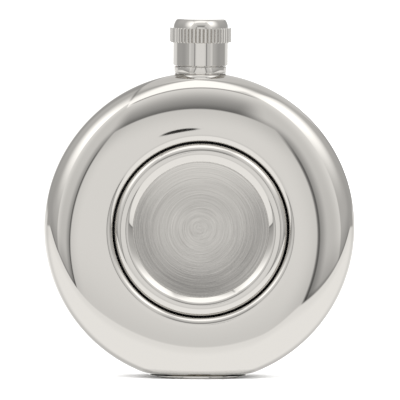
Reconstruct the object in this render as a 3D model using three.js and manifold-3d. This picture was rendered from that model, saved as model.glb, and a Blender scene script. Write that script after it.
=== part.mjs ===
// Round hip flask in polished steel, with a telescopic cup stowed in a well in its front.
// Millimetres, +Z up. The front faces -Y, and the origin is the middle of the foot, on the table.
// The body, the well and the cup turn about an axis along Y. The neck and the cap turn about Z.
import * as THREE from "three";
import { mergeVertices } from "three/addons/utils/BufferGeometryUtils.js";
import Module from "manifold-3d";

const wasm = await Module();
wasm.setup();

// Body: two pressed shells, welded where they meet at the middle of the side
const BODY_RADIUS = 54;
const BODY_THICKNESS = 28.4;
const SHEET = 0.8;
const CROWN_FLAT_RADIUS = 28; // each face is flat inside this and falls away outside it
const CROWN_POWER = 2; // a higher power keeps the face flat for longer
const SIDE_POWER = 4.5; // a higher power gives the side a wider straight band

// Foot: a shallow plate that closes the flat at the bottom and narrows to an oval sole
const FOOT_FLAT_WIDTH = 34.2; // chord of the round body where it is cut flat
const FOOT_PLATE_THICKNESS = 1;
const FOOT_PLATE_INSET = 0.3; // how far the plate's rim stays inside the edge of the flat
const FOOT_SOLE_END_INSET = 2.6; // how far the sole stays inside that edge at its two ends
const FOOT_SOLE_SIDE_INSET = 0.6; // and in front and behind

// Well: the pocket in the front that the cup slides into
const WELL_BORE_RADIUS = 30.4;
const WELL_DEPTH = 18.1; // from the front of the body to the floor
const WELL_WALL = 0.7;
const WELL_CORNER = 2; // inside radius between wall and floor
const LIP_ROUND = 1.9; // radius of the rolled edge round the opening
const FLANGE_DEPTH = 4.5; // from the front of the body to the end of the rolled edge

// Cup foot: the polished ring that shows, with the satin floor of the cup inside it
const FOOT_RING_CLEARANCE = 0.55; // the dark gap round the ring
const RIM_SET_BACK = 0.3; // the ring's flat face behind the front of the body
const RIM_OUTER_ROUND = 4; // radius of the ring's outer edge
const RIM_OUTER_WIDTH = 3.05; // that round, seen from the front
const RIM_FLAT_WIDTH = 0.2;
const RIM_INNER_ROUND = 3.2; // radius between the flat face and the slope inside it
const RIM_INNER_WIDTH = 3.1; // that round and the slope together, seen from the front
const RIM_INNER_SLOPE = THREE.MathUtils.degToRad(33);
const FOOT_RING_HEIGHT = 5.4;
const FLOOR_SEAT_WIDTH = 0.95; // ledge that the cup's floor bears on
const FLOOR_SEAT_LIP = 0.4; // thickness of that ledge
const SEAT_CLEARANCE = 0.1;

// Retaining ring: a rubber ring in a groove of the cup foot, which grips the well
const O_RING_THICKNESS = 1.5;
const O_RING_BORE_CLEARANCE = 0.1; // to the wall of the well
const O_RING_GROOVE_CLEARANCE = 0.15; // to the floor and sides of its groove
const O_RING_LAND = 0.4; // left of the foot ring's side in front of its groove

// Cup sections: four cones, each drawn out of the next until its taper locks
const CUP_WALL = 0.5;
const CUP_FLOOR = 0.8;
const CUP_FLOOR_DISH = 2.5; // how far the middle of the floor is pressed inwards
const CUP_TAPER = THREE.MathUtils.degToRad(3);
const CUP_RUNNING_CLEARANCE = 0.1; // left between two cones when they are drawn out
const SECTION_OVERLAP = 2.2; // of two sections when they are drawn out
const SECTION_GAP = 0.3; // between the foot ring and the sections behind it
const MOUTH_FLOOR_GAP = 0.3; // between the rolled mouth and the floor of the well
const MOUTH_BEAD = 1.4; // diameter of the rolled mouth
const MOUTH_STAND = 1.1; // how far the mouth stands past the other sections

// Spout: the threaded tube that the cap screws onto
const SPOUT_RADIUS = 7.4;
const SPOUT_WALL = 1.9;
const SPOUT_REACH = 3.8; // below the top of the body
const SPOUT_LIP_CHAMFER = 0.4;
const SPOUT_HOLE_CLEARANCE = 0.3; // to the hole in the shells

// Collar: the turned ring between the body and the cap
const COLLAR_STAND = 1.95; // above the top of the body
const COLLAR_STEP = 0.35; // smaller in radius than the cap's skirt
const COLLAR_BORE_CLEARANCE = 0.1; // to the spout
const COLLAR_EDGE = 0.3;
const COLLAR_BAND = 2.1; // height of the plain band under the cap
const COLLAR_GROOVE = 0.3; // depth and height of the groove under that band
const COLLAR_BEAD = 2.3; // diameter of the bead under the groove
const COLLAR_ROOT_STEP = 0.75; // the root under the bead, smaller in radius than the band
const SADDLE_GAP = 0.3; // to the body, filled by the braze

// Cap: a drawn shell with a fluted grip, a threaded bush and a sealing disc
const CAP_GAP = 0.3; // above the collar
const CAP_WALL = 0.8;
const SKIRT_HEIGHT = 8;
const GRIP_HEIGHT = 5;
const GRIP_PROUD = 1.1; // the flutes' tips past the skirt
const FLUTE_COUNT = 48;
const FLUTE_DEPTH = 0.5;
const FLUTE_TIP_SHARE = 0.35; // share of each flute's pitch that is tip
const FLUTE_FLANK_SHARE = 0.2; // share of it that each sloping flank takes
const DOME_HEIGHT = 3.3;
const DOME_SHOULDER = 1.5; // radius of the rounded edge of the dome
const DOME_RISE = 0.2; // of the middle above that edge
const CAP_CROWN_THICKNESS = 1.9; // of the cap at the middle of its dome
const BUSH_WALL = 0.8;
const BUSH_PRESS_CLEARANCE = 0.1; // to the shell
const THREAD_CLEARANCE = 0.5; // between bush and spout, where the threads run
const BUSH_SET_BACK = 0.5; // above the edge of the skirt
const GASKET_THICKNESS = 1.5;
const GASKET_GAP = 0.3; // to the spout and to the bush
const GASKET_CEILING_GAP = 0.2;

// Facets
const BODY_SEGMENTS = 56;
const NECK_SEGMENTS = 36;
const CROWN_STEPS = 8;
const CROWN_STEP_POWER = 1.5; // puts more of the steps near the side, where the curve is tight
const ARC_STEPS = 3;
const RIM_STEPS = 2;
const DISH_STEPS = 2;
const O_RING_SIDES = 6;
const FOOT_OUTLINE_STEPS = 14;

// Body curve: a superellipse in radius and depth, with the flat face inside it
const CROWN_REACH = BODY_RADIUS - CROWN_FLAT_RADIUS;
const CROWN_HEIGHT = BODY_THICKNESS / 2;
const crownHeightAt = (radius) => {
  const out = Math.max(radius - CROWN_FLAT_RADIUS, 0) / CROWN_REACH;
  return CROWN_HEIGHT * (1 - out ** CROWN_POWER) ** (1 / SIDE_POWER);
};
const crownRadiusAt = (height) =>
  CROWN_FLAT_RADIUS + CROWN_REACH * (1 - (height / CROWN_HEIGHT) ** SIDE_POWER) ** (1 / CROWN_POWER);
const crownAngleAt = (radius) =>
  Math.acos(((radius - CROWN_FLAT_RADIUS) / CROWN_REACH) ** (CROWN_POWER / 2));

// Places along the axis of the body, with the front at negative y
const LIP_OUTER_RADIUS = WELL_BORE_RADIUS + LIP_ROUND;
const FRONT_Y = -crownHeightAt(LIP_OUTER_RADIUS);
const FLANGE_END_Y = FRONT_Y + FLANGE_DEPTH;
const WELL_FLOOR_Y = FRONT_Y + WELL_DEPTH;
const RIM_Y = FRONT_Y + RIM_SET_BACK;
const RIM_SLOPE_WIDTH = RIM_INNER_WIDTH - RIM_INNER_ROUND * Math.sin(RIM_INNER_SLOPE);
const RIM_SLOPE_Y = RIM_Y + RIM_INNER_ROUND * (1 - Math.cos(RIM_INNER_SLOPE));
const RIM_FOOT_Y = RIM_SLOPE_Y + RIM_SLOPE_WIDTH * Math.tan(RIM_INNER_SLOPE);
const CUP_FLOOR_Y = RIM_FOOT_Y + FLOOR_SEAT_LIP;
const FOOT_RING_BACK_Y = RIM_Y + FOOT_RING_HEIGHT;
const SECTION_START_Y = FOOT_RING_BACK_Y + SECTION_GAP;
const MOUTH_Y = WELL_FLOOR_Y - MOUTH_FLOOR_GAP;
const SECTION_END_Y = MOUTH_Y - MOUTH_STAND;

// Radii of the cup
const FOOT_RING_RADIUS = WELL_BORE_RADIUS - FOOT_RING_CLEARANCE;
const RIM_OUTER_RADIUS = FOOT_RING_RADIUS - RIM_OUTER_WIDTH;
const RIM_INNER_RADIUS = RIM_OUTER_RADIUS - RIM_FLAT_WIDTH;
const DISC_RADIUS = RIM_INNER_RADIUS - RIM_INNER_WIDTH;
const SEAT_RADIUS = DISC_RADIUS + FLOOR_SEAT_WIDTH;
const CUP_TRAVEL = SECTION_END_Y - SECTION_START_Y - SECTION_OVERLAP;
const SECTION_PITCH = CUP_WALL + CUP_RUNNING_CLEARANCE + CUP_TRAVEL * Math.tan(CUP_TAPER);

// Heights of the neck and cap above the axis of the body
const FOOT_FLAT_DROP = Math.sqrt(BODY_RADIUS ** 2 - (FOOT_FLAT_WIDTH / 2) ** 2);
const AXIS_HEIGHT = FOOT_FLAT_DROP + FOOT_PLATE_THICKNESS;
const COLLAR_TOP = BODY_RADIUS + COLLAR_STAND;
const CAP_BOTTOM = COLLAR_TOP + CAP_GAP;
const GRIP_BOTTOM = CAP_BOTTOM + SKIRT_HEIGHT;
const GRIP_TOP = GRIP_BOTTOM + GRIP_HEIGHT;
const CAP_TOP = GRIP_TOP + DOME_HEIGHT;
const CAP_CEILING = CAP_TOP - CAP_CROWN_THICKNESS;
const GASKET_TOP = CAP_CEILING - GASKET_CEILING_GAP;
const GASKET_BOTTOM = GASKET_TOP - GASKET_THICKNESS;
const SPOUT_TOP = GASKET_BOTTOM - GASKET_GAP;

// Radii of the neck and cap, from the spout outwards
const SPOUT_BORE_RADIUS = SPOUT_RADIUS - SPOUT_WALL;
const BUSH_BORE_RADIUS = SPOUT_RADIUS + THREAD_CLEARANCE;
const BUSH_RADIUS = BUSH_BORE_RADIUS + BUSH_WALL;
const CAP_BORE_RADIUS = BUSH_RADIUS + BUSH_PRESS_CLEARANCE;
const SKIRT_RADIUS = CAP_BORE_RADIUS + CAP_WALL;
const GRIP_RADIUS = SKIRT_RADIUS + GRIP_PROUD;
const COLLAR_RADIUS = SKIRT_RADIUS - COLLAR_STEP;
const COLLAR_BORE_RADIUS = SPOUT_RADIUS + COLLAR_BORE_CLEARANCE;

const polished = new THREE.MeshStandardMaterial({ color: 0xd9d7d3, metalness: 1, roughness: 0.06 });
const satin = new THREE.MeshStandardMaterial({ color: 0xbdbab5, metalness: 1, roughness: 0.38 });
const rubber = new THREE.MeshStandardMaterial({ color: 0x0c0c0c, metalness: 0, roughness: 0.6 });
const silicone = new THREE.MeshStandardMaterial({ color: 0xe6e3dc, metalness: 0, roughness: 0.55 });
const nylon = new THREE.MeshStandardMaterial({ color: 0xefece4, metalness: 0, roughness: 0.45 });

// An arc of points round (r, y), from one angle to another in degrees
function arc(r, y, radius, from, to, steps = ARC_STEPS) {
  return Array.from({ length: steps + 1 }, (_, i) => {
    const angle = THREE.MathUtils.degToRad(from + ((to - from) * i) / steps);
    return [r + radius * Math.cos(angle), y + radius * Math.sin(angle)];
  });
}

// Revolves an outline of [radius, height] points. One that starts and ends on the axis stays open there.
function revolve(points, segments) {
  const outline = points.map(([r, y]) => new THREE.Vector2(r, y));
  if (THREE.ShapeUtils.isClockWise(outline)) outline.reverse();
  if (outline[0].x > 0) outline.push(outline[0].clone());
  return new THREE.LatheGeometry(outline, segments);
}

// A closed geometry as a solid for cutting and joining
function solidOf(geometry) {
  const bare = geometry.clone().deleteAttribute("normal").deleteAttribute("uv");
  const merged = mergeVertices(bare);
  const corners = merged.index.array;
  const triVerts = [];
  for (let i = 0; i < corners.length; i += 3) {
    const [a, b, c] = corners.slice(i, i + 3);
    if (a !== b && b !== c && c !== a) triVerts.push(a, b, c);
  }
  const vertProperties = merged.attributes.position.array;
  return new wasm.Manifold(
    new wasm.Mesh({ numProp: 3, vertProperties, triVerts: new Uint32Array(triVerts) }),
  );
}

function geometryOf(solid) {
  const mesh = solid.getMesh();
  const geometry = new THREE.BufferGeometry();
  geometry.setAttribute("position", new THREE.BufferAttribute(mesh.vertProperties, 3));
  geometry.setIndex(new THREE.BufferAttribute(mesh.triVerts, 1));
  geometry.computeVertexNormals();
  return geometry;
}

function named(name, geometry, material) {
  const mesh = new THREE.Mesh(geometry, material);
  mesh.name = name;
  return mesh;
}

// Points of the body curve from the middle of the side towards the axis, set in along the normal
function crown(innerRadius, setIn) {
  const last = crownAngleAt(innerRadius);
  return Array.from({ length: CROWN_STEPS + 1 }, (_, i) => {
    const angle = last * (i / CROWN_STEPS) ** CROWN_STEP_POWER;
    const out = Math.cos(angle) ** (2 / CROWN_POWER);
    const up = Math.sin(angle) ** (2 / SIDE_POWER);
    const normal = new THREE.Vector2(
      (CROWN_POWER * out ** (CROWN_POWER - 1)) / CROWN_REACH,
      (SIDE_POWER * up ** (SIDE_POWER - 1)) / CROWN_HEIGHT,
    ).normalize();
    const radius = CROWN_FLAT_RADIUS + CROWN_REACH * out - setIn * normal.x;
    return [radius, CROWN_HEIGHT * up - setIn * normal.y];
  });
}

// The flat under the body and the hole for the spout, both cut through the two shells
function shellCuts() {
  const below = new THREE.BoxGeometry(2 * BODY_RADIUS, BODY_THICKNESS, BODY_RADIUS);
  below.translate(0, 0, -FOOT_FLAT_DROP - BODY_RADIUS / 2);
  const holeRadius = SPOUT_RADIUS + SPOUT_HOLE_CLEARANCE;
  const hole = new THREE.CylinderGeometry(holeRadius, holeRadius, BODY_RADIUS, NECK_SEGMENTS);
  hole.rotateX(Math.PI / 2).translate(0, 0, BODY_RADIUS);
  return solidOf(below).add(solidOf(hole));
}

function frontShell() {
  const outside = crown(LIP_OUTER_RADIUS, 0).map(([r, y]) => [r, -y]);
  const inside = crown(LIP_OUTER_RADIUS, SHEET).map(([r, y]) => [r, -y]);
  const lipY = FRONT_Y + LIP_ROUND;
  const lip = arc(LIP_OUTER_RADIUS, lipY, LIP_ROUND, 270, 180).slice(1);
  const lipInside = arc(LIP_OUTER_RADIUS, lipY, LIP_ROUND - SHEET, 180, 270).slice(0, -1);
  const flangeEnd = [
    [WELL_BORE_RADIUS, FLANGE_END_Y],
    [WELL_BORE_RADIUS + SHEET, FLANGE_END_Y],
  ];
  const outline = [...outside, ...lip, ...flangeEnd, ...lipInside, ...inside.reverse()];
  return geometryOf(solidOf(revolve(outline, BODY_SEGMENTS)).subtract(shellCuts()));
}

function backShell() {
  const outside = [...crown(CROWN_FLAT_RADIUS, 0), [0, CROWN_HEIGHT]];
  const inside = [...crown(CROWN_FLAT_RADIUS, SHEET), [0, CROWN_HEIGHT - SHEET]];
  const outline = [...inside.reverse(), ...outside];
  return geometryOf(solidOf(revolve(outline, BODY_SEGMENTS)).subtract(shellCuts()));
}

// The blind pocket, butt-welded to the end of the front shell's rolled edge
function cupWell() {
  const outerRadius = WELL_BORE_RADIUS + WELL_WALL;
  const cornerRadius = WELL_BORE_RADIUS - WELL_CORNER;
  const cornerY = WELL_FLOOR_Y - WELL_CORNER;
  const outline = [
    [0, WELL_FLOOR_Y],
    ...arc(cornerRadius, cornerY, WELL_CORNER, 90, 0),
    [WELL_BORE_RADIUS, FLANGE_END_Y],
    [outerRadius, FLANGE_END_Y],
    ...arc(cornerRadius, cornerY, WELL_CORNER + WELL_WALL, 0, 90),
    [0, WELL_FLOOR_Y + WELL_WALL],
  ];
  return revolve(outline, BODY_SEGMENTS);
}

// The plate's rim follows the flat under the body, and its sole is an oval inside that
function footPlate() {
  const halfWidth = FOOT_FLAT_WIDTH / 2;
  const inset = (halfWidth - FOOT_PLATE_INSET) / halfWidth;
  const angleAt = (step) => (Math.PI * step) / FOOT_OUTLINE_STEPS;
  const angles = Array.from({ length: FOOT_OUTLINE_STEPS - 1 }, (_, i) => angleAt(i + 1));
  const rim = angles.map((angle) => {
    const x = halfWidth * Math.cos(angle);
    return [x * inset, crownHeightAt(Math.hypot(x, FOOT_FLAT_DROP)) * inset];
  });
  const soleWidth = halfWidth - FOOT_SOLE_END_INSET;
  const soleDepth = crownHeightAt(FOOT_FLAT_DROP) - FOOT_SOLE_SIDE_INSET;
  const sole = angles.map((angle) => [soleWidth * Math.cos(angle), soleDepth * Math.sin(angle)]);
  const allRound = (half, end, z) => [
    [end, 0, z],
    ...half.map(([x, y]) => [x, y, z]),
    [-end, 0, z],
    ...half.map(([x, y]) => [x, -y, z]),
  ];
  const corners = [
    ...allRound(rim, halfWidth * inset, FOOT_PLATE_THICKNESS),
    ...allRound(sole, soleWidth, 0),
  ];
  return geometryOf(wasm.Manifold.hull(corners));
}

function spout() {
  const bottom = BODY_RADIUS - SPOUT_REACH;
  const outline = [
    [SPOUT_BORE_RADIUS, bottom],
    [SPOUT_RADIUS, bottom],
    [SPOUT_RADIUS, SPOUT_TOP - SPOUT_LIP_CHAMFER],
    [SPOUT_RADIUS - SPOUT_LIP_CHAMFER, SPOUT_TOP],
    [SPOUT_BORE_RADIUS + SPOUT_LIP_CHAMFER, SPOUT_TOP],
    [SPOUT_BORE_RADIUS, SPOUT_TOP - SPOUT_LIP_CHAMFER],
  ];
  return revolve(outline, NECK_SEGMENTS);
}

// The body without its well, swollen by the braze gap and turned into the neck's axes
function saddleCut() {
  const half = [...crown(CROWN_FLAT_RADIUS, -SADDLE_GAP), [0, CROWN_HEIGHT + SADDLE_GAP]];
  const otherHalf = half.slice(1).reverse().map(([r, y]) => [r, -y]);
  return solidOf(revolve([...otherHalf, ...half], BODY_SEGMENTS).rotateX(-Math.PI / 2));
}

function collar() {
  const bandBottom = COLLAR_TOP - COLLAR_BAND;
  const grooveRadius = COLLAR_RADIUS - COLLAR_GROOVE;
  const beadRadius = COLLAR_BEAD / 2;
  const beadMiddle = bandBottom - COLLAR_GROOVE - beadRadius;
  const rootRadius = COLLAR_RADIUS - COLLAR_ROOT_STEP;
  const rootBottom = crownRadiusAt(COLLAR_RADIUS) - SADDLE_GAP;
  const beadEnd = THREE.MathUtils.radToDeg(Math.acos((grooveRadius - rootRadius) / beadRadius));
  const outline = [
    [COLLAR_BORE_RADIUS, rootBottom],
    [rootRadius, rootBottom],
    ...arc(rootRadius, beadMiddle, beadRadius, -90, beadEnd),
    [grooveRadius, bandBottom],
    [COLLAR_RADIUS, bandBottom],
    [COLLAR_RADIUS, COLLAR_TOP - COLLAR_EDGE],
    [COLLAR_RADIUS - COLLAR_EDGE, COLLAR_TOP],
    [COLLAR_BORE_RADIUS, COLLAR_TOP],
  ];
  return geometryOf(solidOf(revolve(outline, NECK_SEGMENTS)).subtract(saddleCut()));
}

// The fluted band of the cap as a ring that sinks into the cap's wall
function grip() {
  const pitch = (2 * Math.PI) / FLUTE_COUNT;
  const rootRadius = GRIP_RADIUS - FLUTE_DEPTH;
  const corners = [
    [0, GRIP_RADIUS],
    [FLUTE_TIP_SHARE, GRIP_RADIUS],
    [FLUTE_TIP_SHARE + FLUTE_FLANK_SHARE, rootRadius],
    [1 - FLUTE_FLANK_SHARE, rootRadius],
  ];
  const outline = new THREE.Shape();
  for (let flute = 0; flute < FLUTE_COUNT; flute++) {
    for (const [share, radius] of corners) {
      const angle = (flute + share) * pitch;
      const place = [radius * Math.cos(angle), radius * Math.sin(angle)];
      if (flute === 0 && share === 0) outline.moveTo(...place);
      else outline.lineTo(...place);
    }
  }
  const bore = new THREE.Path().absarc(0, 0, SKIRT_RADIUS - CAP_WALL / 2, 0, 2 * Math.PI, true);
  outline.holes.push(bore);
  const ring = new THREE.ExtrudeGeometry(outline, {
    depth: GRIP_HEIGHT,
    bevelEnabled: false,
    curveSegments: NECK_SEGMENTS / 2,
  });
  return ring.rotateX(-Math.PI / 2).translate(0, GRIP_BOTTOM, 0);
}

function capShell() {
  const shoulderRadius = SKIRT_RADIUS - DOME_SHOULDER;
  const shoulderTop = CAP_TOP - DOME_RISE;
  const outline = [
    [0, CAP_CEILING],
    [CAP_BORE_RADIUS, CAP_CEILING],
    [CAP_BORE_RADIUS, CAP_BOTTOM],
    [SKIRT_RADIUS, CAP_BOTTOM],
    ...arc(shoulderRadius, shoulderTop - DOME_SHOULDER, DOME_SHOULDER, 0, 90),
    [shoulderRadius / 2, CAP_TOP - DOME_RISE / 4],
    [0, CAP_TOP],
  ];
  return geometryOf(solidOf(revolve(outline, NECK_SEGMENTS)).add(solidOf(grip())));
}

function capBush() {
  const bottom = CAP_BOTTOM + BUSH_SET_BACK;
  const top = GASKET_BOTTOM - GASKET_GAP;
  const outline = [
    [BUSH_BORE_RADIUS, bottom],
    [BUSH_RADIUS, bottom],
    [BUSH_RADIUS, top],
    [BUSH_BORE_RADIUS, top],
  ];
  return revolve(outline, NECK_SEGMENTS);
}

function capGasket() {
  const outline = [
    [0, GASKET_BOTTOM],
    [BUSH_RADIUS, GASKET_BOTTOM],
    [BUSH_RADIUS, GASKET_TOP],
    [0, GASKET_TOP],
  ];
  return revolve(outline, NECK_SEGMENTS);
}

// Middle of the retaining ring, in radius and along the axis
const RIM_OUTER_TURN = Math.asin(RIM_OUTER_WIDTH / RIM_OUTER_ROUND);
const RIM_SIDE_Y = RIM_Y + RIM_OUTER_ROUND * (1 - Math.cos(RIM_OUTER_TURN));
const O_RING_GROOVE_HALF = O_RING_THICKNESS / 2 + O_RING_GROOVE_CLEARANCE;
const O_RING_RADIUS = WELL_BORE_RADIUS - O_RING_BORE_CLEARANCE - O_RING_THICKNESS / 2;
const O_RING_Y = RIM_SIDE_Y + O_RING_LAND + O_RING_GROOVE_HALF;

function cupFootRing() {
  const outerTurn = THREE.MathUtils.radToDeg(RIM_OUTER_TURN);
  const innerTurn = THREE.MathUtils.radToDeg(RIM_INNER_SLOPE);
  const outerRound = [RIM_OUTER_RADIUS, RIM_Y + RIM_OUTER_ROUND, RIM_OUTER_ROUND];
  const innerRound = [RIM_INNER_RADIUS, RIM_Y + RIM_INNER_ROUND, RIM_INNER_ROUND];
  const grooveFloor = O_RING_RADIUS - O_RING_GROOVE_HALF;
  const outline = [
    ...arc(...outerRound, 270 + outerTurn, 270, RIM_STEPS),
    ...arc(...innerRound, 270, 270 - innerTurn, RIM_STEPS),
    [DISC_RADIUS, RIM_FOOT_Y],
    [DISC_RADIUS, CUP_FLOOR_Y],
    [SEAT_RADIUS, CUP_FLOOR_Y],
    [SEAT_RADIUS, FOOT_RING_BACK_Y],
    [FOOT_RING_RADIUS, FOOT_RING_BACK_Y],
    [FOOT_RING_RADIUS, O_RING_Y + O_RING_GROOVE_HALF],
    [grooveFloor, O_RING_Y + O_RING_GROOVE_HALF],
    [grooveFloor, O_RING_Y - O_RING_GROOVE_HALF],
    [FOOT_RING_RADIUS, O_RING_Y - O_RING_GROOVE_HALF],
  ];
  return revolve(outline, BODY_SEGMENTS);
}

function retainingRing() {
  const section = arc(O_RING_RADIUS, O_RING_Y, O_RING_THICKNESS / 2, 0, 360, O_RING_SIDES);
  return revolve(section.slice(0, -1), BODY_SEGMENTS);
}

// Outside radius of a section's cone: 0 is the one with the floor, and each next one goes round it
function coneRadius(section, y) {
  const first = SEAT_RADIUS - SEAT_CLEARANCE + section * SECTION_PITCH;
  return first + Math.max(y - FOOT_RING_BACK_Y, 0) * Math.tan(CUP_TAPER);
}

// The innermost section, spun with a dished floor that seats in the foot ring
function cupBottom() {
  const floorRadius = coneRadius(0, CUP_FLOOR_Y);
  const dishRadius = (DISC_RADIUS ** 2 + CUP_FLOOR_DISH ** 2) / (2 * CUP_FLOOR_DISH);
  const dishMiddle = CUP_FLOOR_Y + CUP_FLOOR_DISH - dishRadius;
  const dishEdge = THREE.MathUtils.radToDeg(Math.acos(DISC_RADIUS / dishRadius));
  const outline = [
    [0, CUP_FLOOR_Y + CUP_FLOOR_DISH],
    ...arc(0, dishMiddle, dishRadius, 90, dishEdge, DISH_STEPS).slice(1),
    [floorRadius, CUP_FLOOR_Y],
    [floorRadius, FOOT_RING_BACK_Y],
    [coneRadius(0, SECTION_END_Y), SECTION_END_Y],
    [coneRadius(0, SECTION_END_Y) - CUP_WALL, SECTION_END_Y],
    [floorRadius - CUP_WALL, FOOT_RING_BACK_Y],
    [floorRadius - CUP_WALL, CUP_FLOOR_Y + CUP_FLOOR],
    ...arc(0, dishMiddle, dishRadius + CUP_FLOOR, dishEdge, 90, DISH_STEPS).slice(0, -1),
    [0, CUP_FLOOR_Y + CUP_FLOOR_DISH + CUP_FLOOR],
  ];
  return revolve(outline, BODY_SEGMENTS);
}

function cupSection(section) {
  const start = coneRadius(section, SECTION_START_Y);
  const end = coneRadius(section, SECTION_END_Y);
  const outline = [
    [start, SECTION_START_Y],
    [end, SECTION_END_Y],
    [end - CUP_WALL, SECTION_END_Y],
    [start - CUP_WALL, SECTION_START_Y],
  ];
  return revolve(outline, BODY_SEGMENTS);
}

// The outermost section, whose edge is rolled outwards into the bead that is drunk from
function cupMouth(section) {
  const beadRadius = MOUTH_BEAD / 2;
  const beadY = MOUTH_Y - beadRadius;
  const start = coneRadius(section, SECTION_START_Y);
  const end = coneRadius(section, beadY);
  const outline = [
    [start, SECTION_START_Y],
    [coneRadius(section, beadY - beadRadius), beadY - beadRadius],
    ...arc(end + beadRadius - CUP_WALL, beadY, beadRadius, -60, 180, 2 * ARC_STEPS),
    [start - CUP_WALL, SECTION_START_Y],
  ];
  return revolve(outline, BODY_SEGMENTS);
}

const flask = new THREE.Group();

const body = new THREE.Group();
body.position.z = AXIS_HEIGHT;
body.add(
  named("front_shell", frontShell(), polished),
  named("back_shell", backShell(), polished),
  named("cup_well", cupWell(), satin),
);

const cup = new THREE.Group();
cup.position.z = AXIS_HEIGHT;
cup.add(
  named("cup_foot_ring", cupFootRing(), polished),
  named("cup_retaining_ring", retainingRing(), rubber),
  named("cup_bottom_section", cupBottom(), satin),
  named("cup_second_section", cupSection(1), polished),
  named("cup_third_section", cupSection(2), polished),
  named("cup_mouth_section", cupMouth(3), polished),
);

const neck = new THREE.Group();
neck.position.z = AXIS_HEIGHT;
neck.rotation.x = Math.PI / 2;
neck.add(
  named("neck_collar", collar(), polished),
  named("neck_spout", spout(), satin),
  named("cap_shell", capShell(), polished),
  named("cap_thread_bush", capBush(), nylon),
  named("cap_gasket", capGasket(), silicone),
);

flask.add(named("foot_plate", footPlate(), polished), body, cup, neck);

export default flask;
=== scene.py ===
import bpy
import math
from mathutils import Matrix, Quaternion, Vector


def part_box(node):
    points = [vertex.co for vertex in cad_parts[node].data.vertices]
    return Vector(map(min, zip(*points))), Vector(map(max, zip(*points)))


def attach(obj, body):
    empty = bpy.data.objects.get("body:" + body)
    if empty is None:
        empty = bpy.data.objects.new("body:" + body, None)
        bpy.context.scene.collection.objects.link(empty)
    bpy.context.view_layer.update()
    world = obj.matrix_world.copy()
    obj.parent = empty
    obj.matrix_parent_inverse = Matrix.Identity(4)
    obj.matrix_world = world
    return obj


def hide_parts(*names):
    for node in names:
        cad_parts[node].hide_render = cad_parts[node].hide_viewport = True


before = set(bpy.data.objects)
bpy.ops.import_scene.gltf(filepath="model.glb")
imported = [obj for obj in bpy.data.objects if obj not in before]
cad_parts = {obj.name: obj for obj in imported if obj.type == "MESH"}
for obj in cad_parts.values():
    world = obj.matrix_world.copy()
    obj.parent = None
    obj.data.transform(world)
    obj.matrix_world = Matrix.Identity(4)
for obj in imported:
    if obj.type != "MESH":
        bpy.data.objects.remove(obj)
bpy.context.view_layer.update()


# Back shell
# A plain round pressing of stainless sheet, flat in the middle and rolled over at the side, where it
# is welded to the front shell. It is mirror polished by hand, so its reflections wander a little.
MM = 0.001
ring_low, ring_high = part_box("cup_foot_ring")
AXIS_HEIGHT = (ring_low.z + ring_high.z) / 2
back_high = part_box("back_shell")[1]
BODY_RADIUS = back_high.x
CROWN_HEIGHT = back_high.y
CROWN_FLAT_RADIUS = 28 * MM
CROWN_REACH = BODY_RADIUS - CROWN_FLAT_RADIUS
CROWN_POWER = 2
SIDE_POWER = 4.5
CROWN_STEPS = 56
CROWN_STEP_POWER = 1.5
SHEET = 0.8 * MM
FULL_TURN = 2 * math.pi
BODY_STEPS = 240
MERGE_DISTANCE = 0.0005 * MM
SMOOTH_ANGLE = math.radians(28)
CORNER_SEGMENTS = 4


def crown(inner_radius, set_in):
    """Points of the body's curve from the middle of the side to inner_radius, set in from its surface."""
    reach = (inner_radius - CROWN_FLAT_RADIUS) / CROWN_REACH
    last = math.acos(reach ** (CROWN_POWER / 2))
    points = []
    for i in range(CROWN_STEPS + 1):
        angle = last * (i / CROWN_STEPS) ** CROWN_STEP_POWER
        out = math.cos(angle) ** (2 / CROWN_POWER)
        up = math.sin(angle) ** (2 / SIDE_POWER)
        normal = Vector((
            CROWN_POWER * out ** (CROWN_POWER - 1) / CROWN_REACH,
            SIDE_POWER * up ** (SIDE_POWER - 1) / CROWN_HEIGHT,
        )).normalized()
        points.append((
            CROWN_FLAT_RADIUS + CROWN_REACH * out - set_in * normal.x,
            CROWN_HEIGHT * up - set_in * normal.y,
        ))
    return points


def on_body_axis(radius, y):
    """A point of a profile that turns about the body's axis, which runs front to back."""
    return Vector((radius, y, AXIS_HEIGHT))


def draw_line(name, points):
    """A new mesh that is one line through the points, drawn out corner by corner and left in edit mode."""
    bpy.ops.object.select_all(action="DESELECT")
    bpy.ops.mesh.primitive_plane_add(size=SHEET)
    piece = bpy.context.object
    piece.name = name
    bpy.ops.object.mode_set(mode="EDIT")
    bpy.ops.mesh.select_all(action="SELECT")
    bpy.ops.mesh.merge(type="CENTER")
    bpy.ops.transform.translate(value=points[0])
    for start, end in zip(points, points[1:]):
        bpy.ops.mesh.extrude_region_move(TRANSFORM_OT_translate={"value": end - start})
    return piece


def draw_section(name, corners):
    """Draws half the section of a piece that turns about the body's axis, from radii and places on it."""
    return draw_line(name, [on_body_axis(r, y) for r, y in corners])


def select_points(piece, places):
    """Selects the vertices that lie at the given places, in edit mode."""
    bpy.ops.mesh.select_all(action="DESELECT")
    bpy.ops.object.mode_set(mode="OBJECT")
    for vertex in piece.data.vertices:
        vertex.select = any((vertex.co - place).length < MERGE_DISTANCE for place in places)
    bpy.ops.object.mode_set(mode="EDIT")


def round_corners(piece, places, size, segments=CORNER_SEGMENTS):
    """Rounds the corners of a drawn line at the given places."""
    select_points(piece, places)
    bpy.ops.mesh.bevel(offset=size, segments=segments, affect="VERTICES")


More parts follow.
